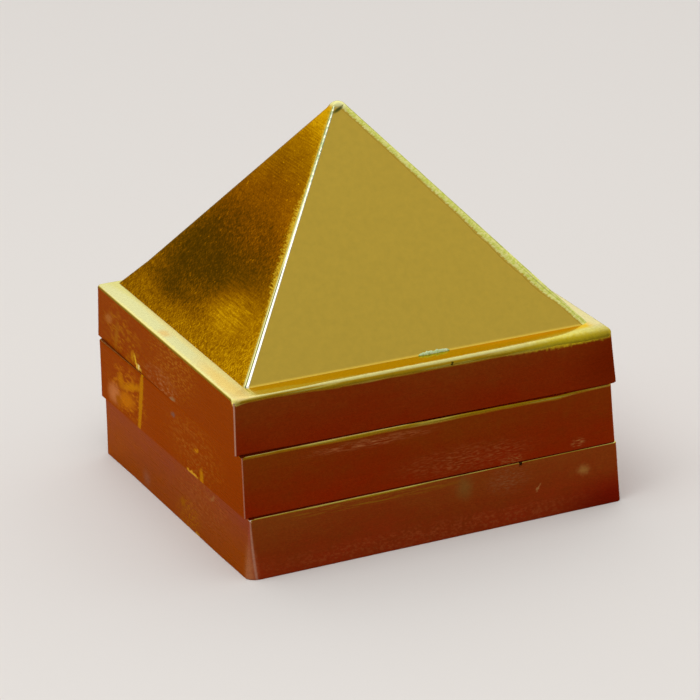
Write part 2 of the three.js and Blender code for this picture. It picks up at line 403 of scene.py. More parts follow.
def pyramid_mesh(sizes):
    """The large pyramid: flat faces, ridges rubbed round, the right one filed to a ragged flat, a
    groove beside the near one, and a rounded tip."""
    slope = math.atan2(PYRAMID_RISE, PYRAMID_FOOT / 2)
    level_wall = PYRAMID_WALL / math.sin(slope)
    apex = sizes.apex_radius
    dome_centre = PYRAMID_RISE - apex / math.cos(slope)
    dome_start = dome_centre + apex * math.cos(slope)
    hollow_top = PYRAMID_RISE * (1 - (level_wall + apex) / (PYRAMID_FOOT / 2))
    rings = []
    marks = {"worn": [], "silvered": [], "seam": [], "solder": []}

    def put(points, z, *values):
        rings.append(level(points, z))
        for mark, value in zip(marks.values(), (*values, 0.0, 0.0, 0.0, 0.0)):
            mark.append(np.broadcast_to(value, len(points)))

    def rounded(corners, radii, *bulges):
        return edge_loop(corners, radii, PYRAMID_SIDE_STEPS, *bulges)

    inner = [sizes.ridge_radius / 2] * 4
    put(rounded(square(apex), inner)[0], hollow_top)
    put(rounded(square(PYRAMID_FOOT / 2 - level_wall), inner)[0], 0)
    heights = [FOOT_FILLET_RISE * share for share in (0, 0.12, 0.3, 0.55, 0.8)]
    heights += list(np.linspace(FOOT_FILLET_RISE, dome_start, sizes.levels))
    for z in heights:
        share = z / dome_start
        half = (PYRAMID_FOOT / 2) * (1 - z / PYRAMID_RISE)
        fillet = FOOT_FILLET * max(0.0, 1 - z / FOOT_FILLET_RISE) ** 2
        mm = z / MM
        ragged = 0.1 * wave(mm * 0.5, 4.2, 0) + 0.04 * wave(mm * 1.6, 9.1, 0)
        width = sizes.filed_ridge_width * np.interp(mm, *FILED_WIDTHS) * (1 + ragged)
        radii = [(sizes.ridge_radius, sizes.ridge_radius)] * 4
        near = sizes.ridge_radius * np.interp(share, *NEAR_RADII)
        back = sizes.ridge_radius * np.interp(mm, *BACK_RADII)
        radii[NEAR_CORNER], radii[BACK_LEFT] = (near, near), (back, back)
        radii[RIGHT_CORNER] = (width, 0.75 * width)
        radii = [(min(x, half * ROUNDEST), min(y, half * ROUNDEST)) for x, y in radii]
        corners = [(x * half, y * half - fillet * (y < 0)) for x, y in SIGNS]
        points, normals, shares, _, numbers = rounded(corners, radii, (1, 1, 0.35, 0.3))
        on_arc = shares >= 0
        on_near = (numbers == NEAR_CORNER) & on_arc
        on_right = (numbers == RIGHT_CORNER) & on_arc
        # A groove up to nearly half the height, a broken line by the filed ridge's edge, and one low on it
        groove = on_near * line_at(shares, 0.42, 0.11) * clamped((0.46 - share) / 0.06)
        broken = line_at(shares, 0.9, 0.045) * clamped(0.75 + 1.3 * wave(mm * 0.7, 1.4, 2.2))
        lines = on_right * (broken + line_at(shares, 0.62, 0.04) * clamped((8 - mm) / 3) * 0.8)
        spots = on_near * clamped((share - 0.5) / 0.3)
        points = points - normals * (GROOVE * groove + LINE * lines)[:, None]
        rubbed = np.where(on_near, 1.0, np.where(on_right, np.minimum(1, 2.5 * shares), 0))
        silver = np.where(on_near, np.interp(shares, (0.5, 0.6), (0, 1)), 0)
        silver += np.where(on_right, np.interp(shares, (0.93, 0.96), (0, 0.5)), 0)
        put(points, z, rubbed, silver, np.maximum(groove, lines * 0.8), spots)
    for step in range(1, DOME_STEPS):
        tilt = slope * (1 - step / DOME_STEPS)
        half = apex * math.sin(tilt)
        radii = [(min(x, half * ROUNDEST), min(y, half * ROUNDEST)) for x, y in radii]
        points, _, shares, _, numbers = rounded(square(half), radii)
        rubbed = np.where((numbers == LEFT) & (shares < 0) & (step < 6), 0.0, 1.0)
        put(points, dome_centre + apex * math.cos(tilt), rubbed, 0.0, 0.0, 0.3)
    tip = apex * math.sin(slope / DOME_STEPS / 3)
    put(rounded(square(tip), [tip * ROUNDEST] * 4)[0], dome_centre + apex, 1.0)
    marks = {mark: np.concatenate(parts) for mark, parts in marks.items()}
    return loft("gilded_pyramid", rings, False, marks, sharp=18)


def material_of(name, surface, *given):
    """A material whose shader has the inputs that the surface's function makes in its tree."""
    material = bpy.data.materials.new(name)
    material.use_nodes = True
    tree = material.node_tree
    tree.nodes.clear()
    shader = add(tree, "ShaderNodeBsdfPrincipled", surface(tree, *given))
    add(tree, "ShaderNodeOutputMaterial", {"Surface": shader})
    return material


def own_millimetres(tree, seat, turn):
    """A place on a piece in millimetres along its own sides, from the middle of its foot."""
    where = add(tree, "ShaderNodeTexCoord").outputs["Object"]
    return add(tree, "ShaderNodeMapping", {
        "Vector": where, "Location": seat, "Rotation": (0, 0, math.radians(turn)), "Scale": (MM, MM, MM)},
        vector_type="TEXTURE")


def patch(tree, where, centre, size, edge=0.5, turn=(0, 0, 0)):
    """1 inside an ellipsoid of the given half sizes and 0 outside it, with a soft edge."""
    placed = add(tree, "ShaderNodeMapping", {
        "Vector": where, "Location": centre, "Scale": size,
        "Rotation": tuple(math.radians(angle) for angle in turn)}, vector_type="TEXTURE")
    reach = add(tree, "ShaderNodeVectorMath", {0: placed}, operation="LENGTH").outputs["Value"]
    return add(
        tree, "ShaderNodeMapRange", {"Value": reach, "From Min": 1 + edge, "From Max": 1 - edge},
        interpolation_type="SMOOTHSTEP")


def grains(tree, where, size, turn=0.0, detail=2.0):
    """Noise with grains of the given size in millimetres, turned about X."""
    placed = add(
        tree, "ShaderNodeMapping", {"Vector": where, "Scale": size, "Rotation": (math.radians(turn), 0, 0)},
        vector_type="TEXTURE")
    return add(tree, "ShaderNodeTexNoise", {
        "Vector": placed, "Scale": 1.0, "Detail": detail, "Roughness": 0.6})


def weighed_sum(tree, start, parts):
    """The start value plus each part's value, less its own middle, times its weight."""
    total = start
    for value, middle, weight in parts:
        offset = add(tree, "ShaderNodeMath", {0: value, 1: middle}, operation="SUBTRACT")
        total = add(
            tree, "ShaderNodeMath", {0: offset, 1: weight, 2: total}, operation="MULTIPLY_ADD")
    return total


def layered(tree, colour, layers):
    """A colour with others laid over it in turn, each by its own share."""
    for share, over in layers:
        colour = add(tree, "ShaderNodeMix", {0: share, 6: colour, 7: over}, data_type="RGBA").outputs[2]
    return colour


# Where the pyramid's sides are painted darker or brighter, as painted reflection: weight, place and half
# size in its own millimetres, edge softness, and tilt in degrees
SIDE_REFLECTION_PATCHES = (
    (-0.47, (0, 7.7, 7.3), (THROUGH, 8.6, 4.5), 0.62, -5),
    (-0.49, (0, -7.3, 7.35), (THROUGH, 7.1, 4.3), 0.95, -1),
    (-0.15, (0, 8.5, 2.9), (THROUGH, 12.3, 0.8), 0.95, 1),
    (0.46, (0, -8.4, 4.7), (THROUGH, 4.7, 2.2), 0.95, -6),
    (-0.95, (0, -1.4, 24.6), (THROUGH, 16, 8.65), 0.95, -5),
)


def pyramid_surface(tree, finish, seat, turn):
    """Brass, satin gilded. The front and back are rubbed smooth. The sides are brushed crosswise, and
    painted browner and more amber than the front and back, in patches, as painted reflection, so they look
    deep and grainy. The ridges are rubbed pale, with flecks of solder towards the tip, and the tip has a
    painted highlight."""
    own = own_millimetres(tree, seat, turn)
    x, y, z = add(tree, "ShaderNodeSeparateXYZ", {"Vector": own}).outputs
    facing = add(tree, "ShaderNodeTexCoord").outputs["Normal"]
    sideways = add(tree, "ShaderNodeSeparateXYZ", {"Vector": facing}).outputs["X"]
    across = add(tree, "ShaderNodeMath", {0: sideways}, operation="ABSOLUTE")
    worn, silvered, seam, solder = (
        add(tree, "ShaderNodeAttribute", attribute_name=mark).outputs["Fac"]
        for mark in ("worn", "silvered", "seam", "solder"))
    cloud, mottle, grain, pits, teeth, file_marks, fleck = (
        grains(tree, own, size, detail=detail) for size, detail in (
            ((4, 4, 4), 4), ((0.9, 0.9, 0.9), 4), ((0.22, 0.22, 0.22), 2), ((0.6, 0.6, 0.6), 1),
            ((THROUGH, 1.1, 0.16), 3), ((0.65, 0.65, 0.15), 3), ((0.35, 0.35, 0.6), 3)))

    # Each runs from its first to its last value as what it reads goes from its low to its high limit
    is_side, is_left, near_tip, tip_light, pit, is_solid, at_right, start, front_shade, side_rough, speck = (
        add(tree, "ShaderNodeMapRange", {
            "Value": value, "From Min": low, "From Max": high, "To Min": first, "To Max": last})
        for value, low, high, first, last in (
            (across, 0.35, 0.6, 0, 1),
            (sideways, -0.35, -0.6, 0, 1),
            (z, 12, 18, 0, 1),
            (z, 13.2, 27.3, 0, 1),
            (pits, 0.68, 0.78, 0, 1),
            (worn, 0.8, 1, 0, 1),
            (x, 0.4, 1, 0, 1),
            (y, 20, -20, 0.55, 0.79),
            (mottle, 0.3, 0.7, 0.96, 1.03),
            (mottle, 0.3, 0.7, 0.28, 0.4),
            (fleck, 0.4, 0.6, 0, 0.9),
        ))

    # Brush strokes run level near the tip and on the bright patch, and cross each other elsewhere
    strokes = weighed_sum(tree, 0.0, [
        (grains(tree, own, (THROUGH, 0.8, 0.16), angle), 0.5, 0.95) for angle in (42, -38)])
    low_hatch = patch(tree, own, (0, -9, 5.5), (THROUGH, 7, 3), 0.5)
    for here, fineness, weight in ((near_tip, 0.13, 0.55), (low_hatch, 0.19, 0.8)):
        layer = weighed_sum(tree, 0.0, [(grains(tree, own, (THROUGH, 3.5, fineness)), 0.5, weight)])
        strokes = add(tree, "ShaderNodeMix", {0: here, 2: strokes, 3: layer}, data_type="FLOAT")

    # How bright the side is painted, from brown at 0 to bright gold at 1: painted reflection, brighter
    # towards the tip and the front, with the grain and brush strokes on it
    toned = [(patch(tree, own, place, size, edge, (tilt, 0, 0)), 0.0, weight)
             for weight, place, size, edge, tilt in SIDE_REFLECTION_PATCHES]
    side_reflection_tone = weighed_sum(tree, start, [
        (tip_light, 0.0, 1.5), *toned, (cloud, 0.5, 0.25), (mottle, 0.5, 0.2), (grain, 0.5, 0.6),
        (strokes, 0.0, 1.0), (pit, 0.0, 0.3)])
    side_colour = add(tree, "ShaderNodeValToRGB", {"Fac": side_reflection_tone}, stops=[
        (0.0, linear("#4a2d06")), (0.2, linear("#5e3a07")), (0.48, linear("#925908")),
        (0.74, linear("#bd810a")), (1.0, linear("#f2b81c"))])
    # A redder band across the sides, part of their painted reflection
    ruddy = patch(tree, own, (0, -1, 13.8), (THROUGH, 16, 4.4), 0.6)
    side_warm = add(tree, "ShaderNodeMix", {
        0: ruddy, 6: side_colour, 7: (1, 0.83, 0.75, 1)}, data_type="RGBA", blend_type="MULTIPLY").outputs[2]

    # A bright fringe left by the file beside the near ridge, on the left face
    from_ridge = weighed_sum(tree, y, [(z, PYRAMID_RISE / MM, -PYRAMID_FOOT / 2 / PYRAMID_RISE)])
    wide = patch(tree, own, (0, 0, 12.5), (THROUGH, THROUGH, 4.5), 0.35)
    spread = add(tree, "ShaderNodeMapRange", {"Value": wide, "To Min": 1.1, "To Max": 2.4})
    nearness = add(tree, "ShaderNodeMapRange", {
        "Value": from_ridge, "From Min": spread, "From Max": 0.3})
    tooth = weighed_sum(tree, 0.0, [(nearness, 0.0, 1.0), (teeth, 0.5, 2.8), (grain, 0.5, 1.0)])
    # The file frays the inner edge of the right ridge too
    frayed = weighed_sum(tree, worn, [(file_marks, 0.5, 1.3)])
    is_toothed, is_frayed = (
        add(tree, "ShaderNodeMapRange", {"Value": value, "From Min": low, "From Max": high})
        for value, low, high in ((tooth, 0.25, 0.95), (frayed, 0.35, 0.65)))
    on_face, is_ridge = (
        add(tree, "ShaderNodeMath", {0: value, 1: 0.0}, operation="GREATER_THAN")
        for value in (nearness, worn))
    front = add(tree, "ShaderNodeVectorMath", {
        0: (*finish.satin_gold,), "Scale": front_shade}, operation="SCALE")

    # The ridges are rubbed pale, and the filed one is greener
    rubbed = add(tree, "ShaderNodeMath", {0: is_frayed, 1: is_solid}, operation="MAXIMUM")
    toothed, paled, flecked, brushed = (
        add(tree, "ShaderNodeMath", {0: one, 1: other}, operation="MULTIPLY")
        for one, other in ((is_toothed, on_face), (rubbed, is_ridge), (speck, solder), (strokes, is_side)))
    fringe = add(tree, "ShaderNodeMath", {0: toothed, 1: is_left}, operation="MULTIPLY")
    filed = add(tree, "ShaderNodeValToRGB", {"Fac": file_marks}, stops=[
        (0.38, linear("#cfd456")), (0.6, linear("#efea92"))])
    # The tip is painted pale yellow-white: a painted highlight on the dome
    tip = patch(tree, own, (0.2, -0.1, 26.9), (1.4, 1.4, 1.2), 0.3)
    split = patch(tree, own, (-0.5, -0.8, 25.78), (0.95, 1.0, 0.19), 0.5, (0, -20, 0))
    colour = layered(tree, front, [
        (is_side, layered(tree, side_warm, [(fringe, linear("#f2c83a"))])),
        (is_ridge, linear("#c9a53a")),
        (paled, layered(tree, (*finish.pale_gold, 1), [(at_right, filed)])),
        (silvered, linear("#fffbea")),
        (flecked, linear("#9cb07a")),
        (tip, linear("#fffbb0")),
        (weighed_sum(tree, seam, [(split, 0.0, 0.9)]), linear("#48561f")),
    ])

    roughness = 0.34
    for share, over in ((is_side, side_rough), (worn, 0.2)):
        roughness = add(tree, "ShaderNodeMix", {0: share, 2: roughness, 3: over}, data_type="FLOAT")
    height = weighed_sum(tree, brushed, [(grain, 0.0, 0.25)])
    bump = add(tree, "ShaderNodeBump", {"Height": height, "Strength": 0.08, "Distance": 0.02 * MM})
    return {
        "Base Color": colour, "Metallic": 1.0, "Roughness": roughness, "Normal": bump,
        "Specular Tint": layered(tree, linear("#d8cfac"), [(worn, linear("#f4f3cf"))])}


# Flaws of the plating, with painted highlights, a painted reflection and darker patches among them, in each
# tray's own millimetres: where, half size, colour, edge softness, and tilt on the wall in degrees. The
# rubbed ones: where, half size, size of the marks, and colour.

CAP_DECK_MARKS_AND_PAINTED_LIGHT = (
    ((0, -21.7, 7), (26, 2.4, 9), "#e8c400", 0.08, 0),  # painted reflection of the pyramid's front face in the ledge along its foot, here and in the next row
    ((16, -21.7, 7), (9, 1.2, 9), "#ffc800", 0.6, 0),
    ((-24.2, -2, 7), (1.9, 27, 9), "#ede9b0", 0.15, 0),  # the left ledge, painted whitest: a painted highlight
    ((24.6, 0, 7), (2.4, 26, 9), "#f1e2ae", 0.2, 0),
    ((21, -24.8, 7), (6, 1.7, 9), "#f2ea80", 0.5, 0),
    ((-23.9, 2.2, 7), (0.7, 1.3, 9), "#f4d088", 0.8, 0),  # warm patches on the ledge
    ((-23.4, -18.5, 7), (1.7, 8, 9), "#ffdc84", 0.7, 0),
    ((-22.5, -6, 7), (0.6, 19, 9), "#fff0a4", 0.6, 0),  # a painted highlight along the pyramid's foot
    ((-25, -4, 7), (0.5, 25, 9), "#fff4a8", 0.3, 0),  # a painted highlight along the ledge's outer edge
)
CAP_FLAWS_AND_PAINTED_LIGHT = (
    # a painted highlight on the near corner's rounding
    ((-24.9, -24.9, 6.8), (0.55, 0.55, 0.35), "#ffee84", 0.8, 0),
    # darker at the right end of the front wall
    ((25.2, -25, 2.6), (4.5, 2, 4), "#6a1d02", 0.9, 0),
    ((19.5, -25.2, 6.5), (6.5, 1.4, 0.5), "#dcc224", 0.7, 0),
    ((-25.2, 20.5, 3.6), (2, 1.3, 0.6), "#b5703c", 0.8, -14),  # rubbed spots and streaks on the left
    ((-25.2, 17.5, 2), (2, 0.6, 1.8), "#ad6a1e", 0.8, 15),
    ((-25.2, 11.4, 1.3), (2, 0.5, 0.6), "#c98a1c", 0.7, -30),
    ((-25.2, 10.2, 1.1), (2, 0.3, 1.1), "#e8ba34", 0.4, -38),
    ((-25.2, 9, 0.5), (2, 1, 0.3), "#eccb50", 0.4, 8),
    # the palest fleck of the chip: a painted highlight
    ((-25.2, 9, 0.6), (2, 0.4, 0.35), "#fff0a0", 0.4, -30),
    ((-25.2, -3.4, 0.2), (2, 1, 0.25), "#a07c5c", 0.6, -15),
    ((3.4, -25, 6.35), (0.18, 1, 0.16), "#2c2006", 0.5, 0),  # a nick in the filed edge
)
CAP_RUBBED = (
    ((-25.2, -3.5, 4.6), (2, 7.5, 3), (0.4, 0.9, 0.22), "#b8702c"),
    ((-25.2, 0.5, 1.2), (2, 5.5, 1.6), (0.5, 0.8, 0.25), "#b4704a"),
    ((-25.2, 15, 2.6), (2, 6.5, 3.2), (0.8, 1.4, 0.4), "#b46e18"),
)
MIDDLE_FLAWS = (
    ((-25, 9.6, 4), (2, 0.6, 5), "#ca8a06", 0.25, 14),  # a yellow streak down the left wall
    ((-25, 12.8, 4.9), (2, 3.6, 0.45), "#d0880a", 0.6, -16),
    ((-25, 16.8, 4.6), (2, 1, 0.9), "#c87e06", 0.7, 0),
    ((-25, 15, 2.4), (2, 3, 1), "#cf7c12", 0.6, -10),
    ((-25, 19.6, 2), (2, 2, 1.2), "#cf8250", 0.7, -12),
    ((-25, 18, 1.6), (2, 0.9, 0.5), "#b06008", 0.7, 0),
    ((-25, -2, 6), (2, 0.7, 0.3), "#86605c", 0.7, -10),
    ((-25, -8, 0.15), (2, 1.9, 0.25), "#eab83c", 0.3, 0),  # chips in the foot
    ((-25, -11.1, 0.7), (2, 0.6, 1), "#cf8f1e", 0.5, 6),
    ((-25, -9.6, 3.7), (2, 0.7, 0.25), "#d08c20", 0.6, -15),
)
MIDDLE_RUBBED = (
    ((-25, -9, 3.6), (2, 8, 3.4), (0.5, 0.9, 0.35), "#ae602c"),
    ((-25, 14.5, 3.6), (2, 5.5, 3.2), (0.7, 1.1, 0.4), "#d08222"),
    ((-8, -25, 6.5), (7, 2, 0.5), (1.7, 1, 0.09), "#9c5c34"),
    ((4.5, -25, 1.9), (7.5, 2, 1.5), (0.9, 1, 0.16), "#8c4420"),
    ((10.6, -25, 0.5), (1.4, 2, 0.6), (0.5, 0.5, 0.13), "#905428"),
    ((19.7, -25, 0.9), (0.8, 2, 0.5), (0.8, 0.5, 0.12), "#a06838"),
)
BASE_FLAWS_AND_PAINTED_LIGHT = (
    ((-25, -3, 2.7), (2, 0.6, 0.5), "#b06e1c", 0.8, 0),
    ((-25, -8, 0.1), (2, 0.7, 0.25), "#d09a30", 0.5, 0),
    ((-25, 10, 1.5), (2, 1, 0.9), "#a0604a", 0.9, 0),
    ((-25, -13, 6.5), (2, 0.7, 0.25), "#b0764c", 0.7, -30),
    ((3.6, -25, 6.2), (0.9, 2, 1.2), "#7c4c1e", 0.9, 0),
    ((11.3, -24.9, 7.7), (0.2, 1, 0.2), "#1c1004", 0.5, 0),
    ((-25.5, -24.4, 0.6), (1, 0.9, 3.4), "#b06c44", 0.9, 0),  # a painted tan sheen low on the near corner
    ((19.9, -25, 5.2), (0.7, 2, 0.5), "#94602c", 0.9, 0),
    ((13.6, -25, 4.1), (0.12, 2, 0.5), "#a06c3c", 0.7, 35),
    # a painted glint on the near top corner
    ((-24.75, -24.75, 7.75), (0.25, 0.25, 0.22), "#ffffff", 0.4, 0),
    # darker low on the front wall's right end
    ((24.5, -25, 0.8), (6, 2, 2.4), "#721604", 0.9, 0),
)
BASE_RUBBED = (
    ((-25, -9, 5), (2, 9, 3), (0.4, 0.7, 0.3), "#ac6038"),
    ((-25, -5, 1.6), (2, 3.5, 1.8), (0.4, 0.6, 0.25), "#bc7a24"),
    ((-9, -25, 7.1), (10, 2, 0.5), (4, 1, 0.14), "#8a5a12"),
    ((9.5, -25, 6), (2.4, 2, 1.5), (0.7, 0.4, 0.14), "#864c2a"),
    ((0, -25, 1.2), (24, 2, 1.2), (0.4, 0.4, 0.3), "#93401c"),
)


def tray_surface(tree, finish, seat, turn, rise, tones, side_tones, flaws_and_painted_light, rubbed, deck):
    """Brass, gilded and toned. The walls are coppery brown, redder towards the foot, which is partly painted
    reflection of the floor, and the deck and filed edges stay pale gold, with painted shade on their lips.
    Worn corners show silvery metal, and the plating has stains and chips, among painted highlights, a
    painted reflection and darker patches."""
    own = own_millimetres(tree, seat, turn)
    _, y, z = add(tree, "ShaderNodeSeparateXYZ", {"Vector": own}).outputs
    facing = add(tree, "ShaderNodeTexCoord").outputs["Normal"]
    sideways, _, upward = add(tree, "ShaderNodeSeparateXYZ", {"Vector": facing}).outputs
    across = add(tree, "ShaderNodeMath", {0: sideways}, operation="ABSOLUTE")
    worn = add(tree, "ShaderNodeAttribute", attribute_name="worn").outputs["Fac"]
    cloud, speck, scratch, fine = (
        grains(tree, own, size, detail=detail) for size, detail in (
            ((7, 7, 5), 3), ((0.7, 0.7, 0.7), 4), ((9, 9, 0.22), 3), ((0.35, 0.35, 0.35), 2)))

    # Each runs from its first to its last value as what it reads goes from its low to its high limit
    is_top, is_flat, is_shaded_lip, is_side, at_front, height, streak, wear, dust, wall_rough = (
        add(tree, "ShaderNodeMapRange", {
            "Value": value, "From Min": low, "From Max": high, "To Min": first, "To Max": last})
        for value, low, high, first, last in (
            (upward, 0.12, 0.34, 0, 1),
            (upward, 0.9, 0.98, 0, 0.45),
            (upward, 0.9, 0.72, 0, 1),
            (across, 0.5, 0.85, 0, 1),
            (y, -23.9, -24.2, 0, 1),
            (z, 0, rise / MM, 0, 1),
            (scratch, 0.5, 0.6, 0, 0.6),
            (worn, 0.3, 0.8, 0, 1),
            (fine, 0.3, 0.7, 0.93, 1.07),
            (scratch, 0.3, 0.7, 0.24, 0.34),
        ))
    if not deck:  # the edges at the sides and the back have toned like the walls
        bright = add(tree, "ShaderNodeMath", {0: is_flat, 1: at_front}, operation="MAXIMUM")
        is_top = add(tree, "ShaderNodeMath", {0: is_top, 1: bright}, operation="MULTIPLY")

    # The outlines of the marks and of the painted light are frayed by noise
    ragged = add(tree, "ShaderNodeTexNoise", {"Vector": own, "Scale": 1.6, "Detail": 4.0, "Roughness": 0.7})
    shift = add(tree, "ShaderNodeVectorMath", {
        0: ragged.outputs["Color"], 1: (0.5, 0.5, 0.5)}, operation="SUBTRACT")
    frayed = add(tree, "ShaderNodeVectorMath", {
        0: shift, 1: (1.2, 1.2, 1.2), 2: own}, operation="MULTIPLY_ADD")

    def with_flaws_and_painted_light(colour, places):
        layers = []
        for centre, size, code, edge, tilt in places:
            on_left = centre[0] < -24
            turned = (tilt, 0, 0) if on_left else (0, tilt, 0)
            layers.append((patch(tree, frayed, centre, size, edge, turned), linear(code)))
        return layered(tree, colour, layers)

    # The walls, from the foot to the deck. Their tone varies at random and with height, and the part that
    # goes with height is partly painted reflection of the floor
    shade = weighed_sum(tree, 0.5, [
        (cloud, 0.5, 0.6), (height, 0.5, 0.5), (speck, 0.5, 0.3), (scratch, 0.5, 0.2)])
    front, side = (
        add(tree, "ShaderNodeValToRGB", {"Fac": shade}, stops=[
            (place, linear(code)) for place, code in zip((0.2, 0.5, 0.85), codes)])
        for codes in (tones, side_tones))
    rubs = []
    for centre, size, grain_size, code in rubbed:
        marks = grains(tree, own, grain_size, detail=3)
        marked = add(tree, "ShaderNodeMapRange", {
            "Value": marks, "From Min": 0.48, "From Max": 0.62})
        here = patch(tree, own, centre, size, 0.6)
        share = add(tree, "ShaderNodeMath", {0: marked, 1: here}, operation="MULTIPLY")
        rubs.append((share, linear(code)))
    wall = layered(tree, front, [(is_side, side), *rubs])

    # The deck, with its marks and painted light, and deeper gold on its rounded lip where it turns down:
    # painted shade
    shaded_lip = layered(tree, (*finish.shaded_lip_gold, 1), [(streak, linear("#f2e468")), (is_side, linear("#946c06"))])
    top = layered(tree, with_flaws_and_painted_light((*finish.pale_gold, 1), deck), [(is_shaded_lip, shaded_lip)])
    colour = with_flaws_and_painted_light(layered(tree, wall, [(is_top, top)]), flaws_and_painted_light)
    colour = layered(tree, colour, [(wear, (*finish.bare_metal, 1))])
    dusty = add(tree, "ShaderNodeVectorMath", {0: colour, "Scale": dust}, operation="SCALE")

    roughness = add(tree, "ShaderNodeMix", {0: is_top, 2: wall_rough, 3: 0.16}, data_type="FLOAT")
    bump = add(tree, "ShaderNodeBump", {"Height": scratch, "Strength": 0.15, "Distance": 0.01 * MM})
    return {
        "Base Color": dusty, "Metallic": 1.0, "Roughness": roughness, "Normal": bump,
        "Specular Tint": layered(tree, linear("#e2c0aa"), [(is_top, linear("#f4f3cf"))])}


def plate_surface(tree):
    """Thin brass sheet, pressed and bright, in slightly cloudy gold."""
    place = add(tree, "ShaderNodeTexCoord").outputs
    cloud = add(tree, "ShaderNodeTexNoise", {
        "Vector": place["Object"], "Scale": 160.0, "Detail": 4.0, "Roughness": 0.6})
    colour = add(tree, "ShaderNodeValToRGB", {"Fac": cloud}, stops=[
        (0.3, linear("#c98a3c")), (0.55, linear("#e0a850")), (0.75, linear("#ecc070"))])
    roughness = add(tree, "ShaderNodeMapRange", {
        "Value": cloud, "From Min": 0.3, "From Max": 0.7, "To Min": 0.18, "To Max": 0.3})
    return {"Base Color": colour, "Metallic": 1.0, "Roughness": roughness}


def residue_surface(tree):
    """Dried soldering flux, a chalky pale green crust."""
    place = add(tree, "ShaderNodeTexCoord").outputs
    crust = add(tree, "ShaderNodeTexNoise", {
        "Vector": place["Object"], "Scale": 2200.0, "Detail": 4.0})
    colour = add(tree, "ShaderNodeValToRGB", {"Fac": crust}, stops=[
        (0.35, linear("#bfe69c")), (0.65, linear("#eeffd2"))])
    bump = add(tree, "ShaderNodeBump", {"Height": crust, "Strength": 0.6, "Distance": 0.05 * MM})
    return {"Base Color": colour, "Roughness": 0.7, "Normal": bump}


def floor_surface(_, colour):
    """Matt paper."""
    return {"Base Color": (*colour, 1), "Roughness": 0.9, "Specular IOR Level": 0.2}


class VASTU_OT_pyramid(bpy.types.Operator):
    """Builds the large gilded pyramid"""

    bl_idname = "vastu.build_pyramid"
    bl_label = "Build the large pyramid"

    def execute(self, context):
        scene = context.scene
        seat, turn = seat_of("pyramid_shell"), TURNS["cap"]
        mesh = pyramid_mesh(scene.vastu_sizes)
        material = material_of("satin_gilded_brass", pyramid_surface, scene.vastu_finish, seat, turn)
        piece("gilded_pyramid", mesh, "cap", "pyramid_shell", material, turn, seat)
        return {"FINISHED"}


class VASTU_OT_trays(bpy.types.Operator):
    """Builds the cap tray, the middle tray and the base tray"""

    bl_idname = "vastu.build_trays"
    bl_label = "Build the three trays"

    def execute(self, context):
        sizes, finish = context.scene.vastu_sizes, context.scene.vastu_finish
        # Each has its body, node, seed, what tray_mesh takes and what tray_surface takes
        trays = (
            ("cap", "cap_tray", 1,
             (CAP_FOOT, CAP_TOP, CAP_FILED, CAP_DEPTHS, 0.34, 0.0, 1.0, CAP_OPENING),
             (("#782003", "#762806", "#75350c"), ("#993c06", "#973c05", "#9a4005"),
              CAP_FLAWS_AND_PAINTED_LIGHT, CAP_RUBBED, CAP_DECK_MARKS_AND_PAINTED_LIGHT)),
            ("middle", "middle_tray", 6,
             (TRAY_FOOT, TRAY_TOP, MIDDLE_FILED, MIDDLE_DEPTHS, 0.12, 0.0, 0.62, 0),
             (("#802103", "#792805", "#763508"), ("#9d3e06", "#9c3e08", "#9c400c"),
              MIDDLE_FLAWS, MIDDLE_RUBBED, ())),
            ("base", "base_tray", 11,
             (TRAY_FOOT, TRAY_TOP, BASE_FILED, BASE_DEPTHS, 0.2, 0.42 * MM, 0.66, 0),
             # The base's left wall is painted lighter at the foot: painted light against the shade there
             (("#8d2d0e", "#80310d", "#7f3e12"), ("#a85121", "#a04d2c", "#9c4a3c"),
              BASE_FLAWS_AND_PAINTED_LIGHT, BASE_RUBBED, ())),
        )
        for body, node, seed, shape, look in trays:
            low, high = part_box(node)
            seat, turn, rise = seat_of(node), TURNS[body], high.z - low.z
            mesh = tray_mesh(body + "_casting", rise, seed, sizes, *shape)
            material = material_of(
                body + "_toned_gilding", tray_surface, finish, seat, turn, rise, *look)
            piece(body + "_casting", mesh, body, node, material, turn, seat)
        return {"FINISHED"}


class VASTU_OT_plates(bpy.types.Operator):
    """Builds the plates of nine and of eighty-one small pyramids"""

    bl_idname = "vastu.build_plates"
    bl_label = "Build the pressed plates"

    def execute(self, context):
        material = material_of("pressed_brass_sheet", plate_surface)
        tree = plate_tree(material)
        plates = (("middle", "nine_pyramid_plate", 3), ("base", "eighty_one_pyramid_plate", 9))
        for body, node, per_side in plates:
            mesh = plate_mesh(tree, per_side)
            piece(
                body + "_pressed_plate", mesh, body, node, material, TURNS[body],
                seat_of(node))
        return {"FINISHED"}


